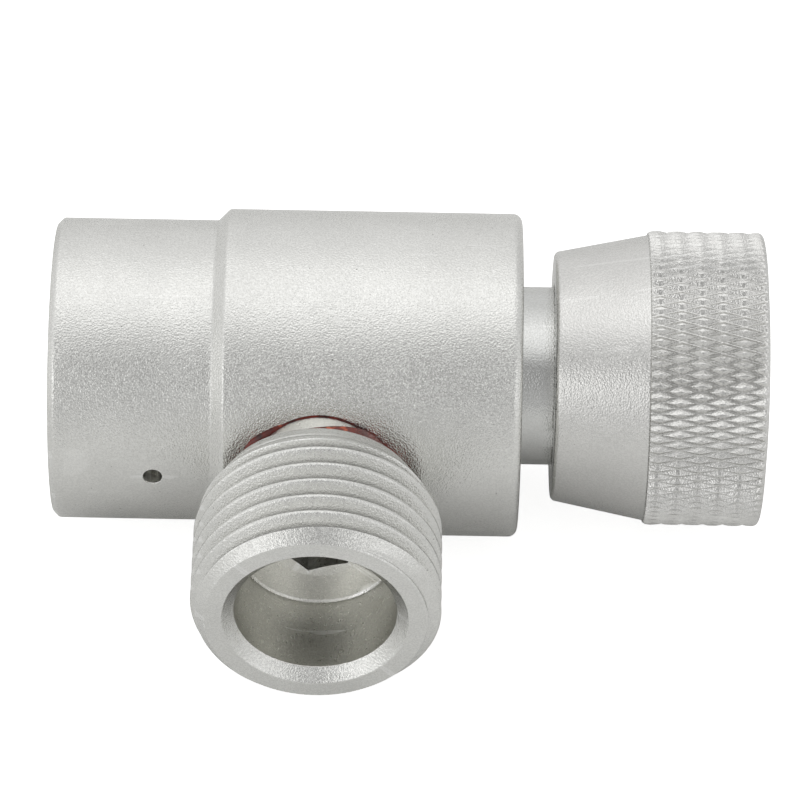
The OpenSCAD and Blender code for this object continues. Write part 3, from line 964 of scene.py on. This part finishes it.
def make_knob():
    """Cup round the neck, smooth cone and diamond-knurled rim."""
    cone_row = 0.6 * MM
    face_row = 0.2 * MM
    outer_edge = 0.12 * MM
    inner_edge = 0.10 * MM
    cone_start = (KNOB_SMALL_R, KNOB_START + KNOB_EDGE)
    cone_stop = (CONE_R, CONE_END)
    rim_stop = (KNOB_R - KNOB_CORNER_R, KNOB_END)
    cap_edge = (CAP_SEAT_R + 0.3 * MM, KNOB_END)
    cone = soften(
        [
            (CUP_R + 0.5 * MM, KNOB_START),
            (KNOB_SMALL_R - KNOB_EDGE, KNOB_START),
            cone_start,
            *straight(cone_start, cone_stop, cone_row),
            cone_stop,
            (CONE_R, CONE_END + 0.05 * MM),
        ],
        outer_edge,
    )
    corner_start = KNOB_END - KNOB_CORNER_R
    row = KNURL_LENGTH / KNURL_STEPS
    rows = int((corner_start - KNURL_START) / row) + 1
    knurl = [(KNOB_R, KNURL_START + row * i) for i in range(rows)]
    rim = arc(KNOB_R - KNOB_CORNER_R, corner_start, KNOB_CORNER_R, 0, 90, 8)
    inside = soften(
        [
            *straight(rim_stop, cap_edge, face_row),
            cap_edge,
            (CAP_SEAT_R, KNOB_END),
            (CAP_SEAT_R, KNOB_END - CAP_T),
            (SCREW_WELL_R, KNOB_END - CAP_T),
            (SCREW_WELL_R, WEB_END),
            (TANG_HOLE_R, WEB_END),
            (TANG_HOLE_R, CUP_FLOOR),
            (CUP_R, CUP_FLOOR),
            (CUP_R, KNOB_START),
            (CUP_R + 0.4 * MM, KNOB_START),
        ],
        inner_edge,
    )
    points = np.array(cone + knurl + rim + inside)
    row_number = np.arange(len(points))
    knurled = (row_number >= len(cone)) & (row_number < len(cone + knurl + rim))

    def outline(angle):
        radius = points[:, 0] + np.zeros_like(angle)
        along = points[:, 1] + np.zeros_like(angle)
        depth, _ = knurl_surface(angle, along)
        fade = np.clip((KNOB_END - along) / KNOB_CORNER_R, 0, 1)
        ragged_start = KNURL_DEPTH * 0.6 * (along < KNURL_START + 0.01 * MM)
        radius = radius - knurled * np.maximum(depth * fade, ragged_start)
        # the hole for the spindle's tang has two flats
        in_hole = np.abs(radius - TANG_HOLE_R) < 0.2 * MM
        to_flat = TANG_HALF / np.maximum(np.abs(np.cos(angle)), 0.01)
        radius = np.where(in_hole, np.minimum(radius, to_flat), radius)
        return radius, along

    columns = KNURL_DIAMONDS * KNURL_STEPS
    cell_angle = (np.arange(columns)[:, None] + 0.5) * TURN / columns
    cell_along = (points[:, 1] + np.roll(points[:, 1], -1)) / 2
    _, lean = knurl_surface(cell_angle, cell_along)
    lean = np.where(knurled, lean, 0)
    piece = revolve("knob_grip", outline, about_x, columns, crease_deg=24, lean=lean)
    paint(piece, knob_metal)
    install(piece, "knob_set", "anodised_knob", "knob")


def make_cap():
    """End disc of the knob, with a broken edge."""
    rounding = 0.08 * MM
    outline = soften(
        [
            (0, KNOB_END - CAP_T),
            (cap_high.z, KNOB_END - CAP_T),
            (cap_high.z, KNOB_END),
            (cap_high.z - 0.2 * MM, cap_high.x),
            (0, cap_high.x),
        ],
        rounding,
    )
    piece = revolve("knob_end_disc", steady(outline), about_x, columns=256)
    paint(piece, knob_metal)
    install(piece, "knob_set", "anodised_knob", "knob_cap")


# ---------------------------------------------------------------- return spring

def make_spring():
    """Coil between the pin's guide and its washer."""
    wire_r = 0.25 * MM
    coil_r = 2.3 * MM
    turns = 5
    sides = 14
    per_turn = 48
    gap = 0.01 * MM
    first = guide_high.x + wire_r + gap
    last = pusher_low.x - wire_r - gap
    count = turns * per_turn
    step = np.arange(count + 1)[:, None]
    around_wire = np.arange(sides) * TURN / sides
    centre = first + (last - first) * step / count
    radius = coil_r + wire_r * np.cos(around_wire) + np.zeros_like(centre)
    points = about_x(radius, centre + wire_r * np.sin(around_wire), step * TURN / per_turn)
    faces = []
    for i in range(count):
        for k in range(sides):
            a = i * sides + k
            b = i * sides + (k + 1) % sides
            faces.append((a, b, b + sides, a + sides))
    faces.append(tuple(range(sides)))
    faces.append(tuple(range(count * sides, (count + 1) * sides)))
    mesh = bpy.data.meshes.new("return_spring_coil")
    mesh.from_pydata(points.reshape(-1, 3).tolist(), [], faces)
    piece = finish_mesh("return_spring_coil", mesh, crease_deg=40)
    paint(piece, steel)
    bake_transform(piece)
    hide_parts("return_spring")


# ---------------------------------------------------------------- pieces kept from the frame

KEPT = {
    "cylinder_seal": white_plastic,
    "backup_rings": white_plastic,
    "thrust_washer": white_plastic,
    "pin_guide": brass,
    "bonnet_o_ring": rubber,
    "spindle_o_rings": rubber,
    "push_pin": steel,
    "spring_washer": steel,
    "spindle": steel,
    "knob_washer": steel,
    "pin_clip": black_steel,
    "lock_washer": black_steel,
    "knob_screw": black_steel,
}


def dress_kept_nodes():
    """Gives the CAD nodes that stay their finishes."""
    for name, material in KEPT.items():
        for slot in frame["nodes"][name].material_slots:
            slot.material = material


# ---------------------------------------------------------------- stage, light and camera

def make_floor():
    """Pale matt sheet that the barrel lies on. It glows for the camera only, so it shows white."""
    half = 3.0
    glow = 0.78
    pale = (0.80, 0.80, 0.79)
    paler = (0.84, 0.84, 0.83)
    corners = [(-half, -half), (half, -half), (half, half), (-half, half)]
    mesh = bpy.data.meshes.new("floor")
    mesh.from_pydata([(x, y, body_low.z) for x, y in corners], [], [(0, 1, 2, 3)])
    piece = bpy.data.objects.new("floor", mesh)
    bpy.context.scene.collection.objects.link(piece)
    material, tree, shader = new_material("pale_floor")
    base = mix_colours(tree, spread(tree, grain(tree, 40, 3), 0, 1), pale, paler)
    tree.links.new(base, shader.inputs["Base Color"])
    shader.inputs["Roughness"].default_value = 0.9
    shader.inputs["Specular IOR Level"].default_value = 0.1
    seen = tree.nodes.new("ShaderNodeLightPath").outputs["Is Camera Ray"]
    shader.inputs["Emission Color"].default_value = (1, 1, 1, 1)
    tree.links.new(spread(tree, seen, 0, glow, 0, 1), shader.inputs["Emission Strength"])
    mesh.materials.append(material)


# Brightness of the studio by the angle about the main axis: 0 is the front horizon, 0.25 overhead
# and 0.5 the back horizon. The camera and its stand are a dark patch in the middle, at 0.125, and
# to both sides of them there are pale screens.
STUDIO_MIDDLE = [
    (0.0, 0.58), (0.045, 0.52), (0.085, 0.41), (0.145, 0.37), (0.18, 0.64),
    (0.225, 1.14), (0.29, 1.30), (0.345, 1.05), (0.41, 0.83), (0.5, 0.80),
]
STUDIO_SIDES = [
    (0.0, 0.64), (0.03, 0.88), (0.12, 1.28), (0.16, 0.58), (0.20, 0.63),
    (0.23, 0.84), (0.30, 0.86), (0.36, 0.80), (0.42, 0.74), (0.5, 0.75),
]
# the left of the studio is a little brighter than the right
LEFT_GAIN = 1.12
RIGHT_GAIN = 0.90


def maths(tree, operation, *values):
    """A maths node on numbers or other nodes' outputs."""
    node = tree.nodes.new("ShaderNodeMath")
    node.operation = operation
    for socket, value in zip(node.inputs, values):
        if isinstance(value, (int, float)):
            socket.default_value = value
        else:
            tree.links.new(value, socket)
    return node.outputs[0]


def brightness_ramp(tree, share, levels):
    """A grey level for each share of a turn."""
    ramp = tree.nodes.new("ShaderNodeValToRGB")
    ramp.color_ramp.interpolation = "EASE"
    while len(ramp.color_ramp.elements) < len(levels):
        ramp.color_ramp.elements.new(0.5)
    for element, (position, level) in zip(ramp.color_ramp.elements, levels):
        element.position = position
        element.color = (level, level, level, 1)
    tree.links.new(share, ramp.inputs["Fac"])
    return ramp.outputs["Color"]


def make_world():
    """Soft studio surroundings: a bright band overhead, pale screens and a dark camera side."""
    world = bpy.data.worlds.new("studio")
    world.use_nodes = True
    bpy.context.scene.world = world
    tree = world.node_tree
    split = tree.nodes.new("ShaderNodeSeparateXYZ")
    place = tree.nodes.new("ShaderNodeTexCoord")
    tree.links.new(place.outputs["Generated"], split.inputs["Vector"])
    to_front = maths(tree, "MULTIPLY", split.outputs["Y"], -1.0)
    share = maths(tree, "DIVIDE", maths(tree, "ARCTAN2", split.outputs["Z"], to_front), TURN)
    middle = brightness_ramp(tree, share, STUDIO_MIDDLE)
    sides = brightness_ramp(tree, share, STUDIO_SIDES)
    sideways = spread(tree, maths(tree, "ABSOLUTE", split.outputs["X"]), 0, 1, 0.18, 0.42)
    level = mix_colours(tree, sideways, middle, sides)
    tree.links.new(level, tree.nodes["Background"].inputs["Color"])
    gain = spread(tree, split.outputs["X"], LEFT_GAIN, RIGHT_GAIN, -0.5, 0.5)
    tree.links.new(gain, tree.nodes["Background"].inputs["Strength"])


def make_camera():
    """Long lens, 45 degrees above the front, rolled so that the main axis falls to the right."""
    elevation = math.radians(45.2)
    roll = math.radians(1.03)
    distance = 442.3 * MM
    aim_right = 6.65 * MM
    aim_down = 2.44 * MM
    forward = Vector((0, math.cos(elevation), -math.sin(elevation)))
    level_right = Vector((1, 0, 0))
    level_down = Vector((0, -math.sin(elevation), -math.cos(elevation)))
    right = level_right * math.cos(roll) - level_down * math.sin(roll)
    down = level_right * math.sin(roll) + level_down * math.cos(roll)
    axes_cross = Vector((OUTLET_X, 0, 0))
    place = axes_cross + right * aim_right + down * aim_down - forward * distance
    data = bpy.data.cameras.new("camera")
    data.lens = 229.5
    data.sensor_width = 36
    data.clip_start = 10 * MM
    camera = bpy.data.objects.new("camera", data)
    bpy.context.scene.collection.objects.link(camera)
    axes = Matrix((right, -down, -forward)).transposed().to_4x4()
    camera.matrix_world = Matrix.Translation(place) @ axes
    bpy.context.scene.camera = camera
    bpy.context.scene.view_settings.view_transform = "Standard"


make_body()
make_nipple()
make_sealant()
make_bonnet()
make_knob()
make_cap()
make_spring()
dress_kept_nodes()
make_floor()
make_world()
make_camera()
